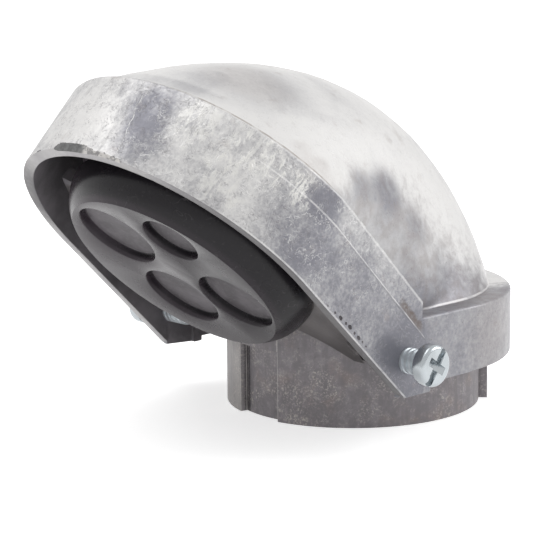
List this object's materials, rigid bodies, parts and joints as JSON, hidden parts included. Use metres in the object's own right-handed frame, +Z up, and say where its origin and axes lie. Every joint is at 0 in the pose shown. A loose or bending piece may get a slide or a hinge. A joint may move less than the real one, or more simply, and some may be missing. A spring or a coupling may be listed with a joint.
{
  "type": "service entrance weatherhead",
  "caption": "Die-cast service entrance weatherhead: threaded hub body, lift-off domed hood held by backed-out side screws, and a moulded insulator with knockouts in its mouth.",
  "frame": {"origin": "centre of the hub's open lower end, on the axis of its conduit thread", "axes": "+Z up the conduit, away from the threaded end; -Y the side that the hood's mouth faces; +X the side of screw_right"},
  "size_m": [0.0818, 0.1022, 0.0702],
  "materials": {
    "weathered_casting": "as cast, dulled and stained grey-brown",
    "moulded_insulator": "moulded, satin",
    "tumbled_casting": "die cast and tumbled, bright and faintly mottled",
    "zinc_plated_steel": "zinc plated, satin"
  },
  "bodies": {
    "root": {"hub_body": "weathered_casting", "insulator": "moulded_insulator"},
    "hood": {"hood": "tumbled_casting"},
    "screw_right": {"screw_right": "zinc_plated_steel"},
    "screw_left": {"screw_left": "zinc_plated_steel"}
  },
  "joints": [
    {"name": "hood_lift", "type": "slide", "parent": "root", "child": "hood", "axis": [0, 0, 1], "range_m": [0, 0.055]},
    {"name": "screw_right_travel", "type": "slide", "parent": "hood", "child": "screw_right", "axis": [1, 0, 0], "range_m": [-0.0044, 0.0055]},
    {"name": "screw_left_travel", "type": "slide", "parent": "hood", "child": "screw_left", "axis": [-1, 0, 0], "range_m": [-0.0044, 0.0055]}
  ]
}
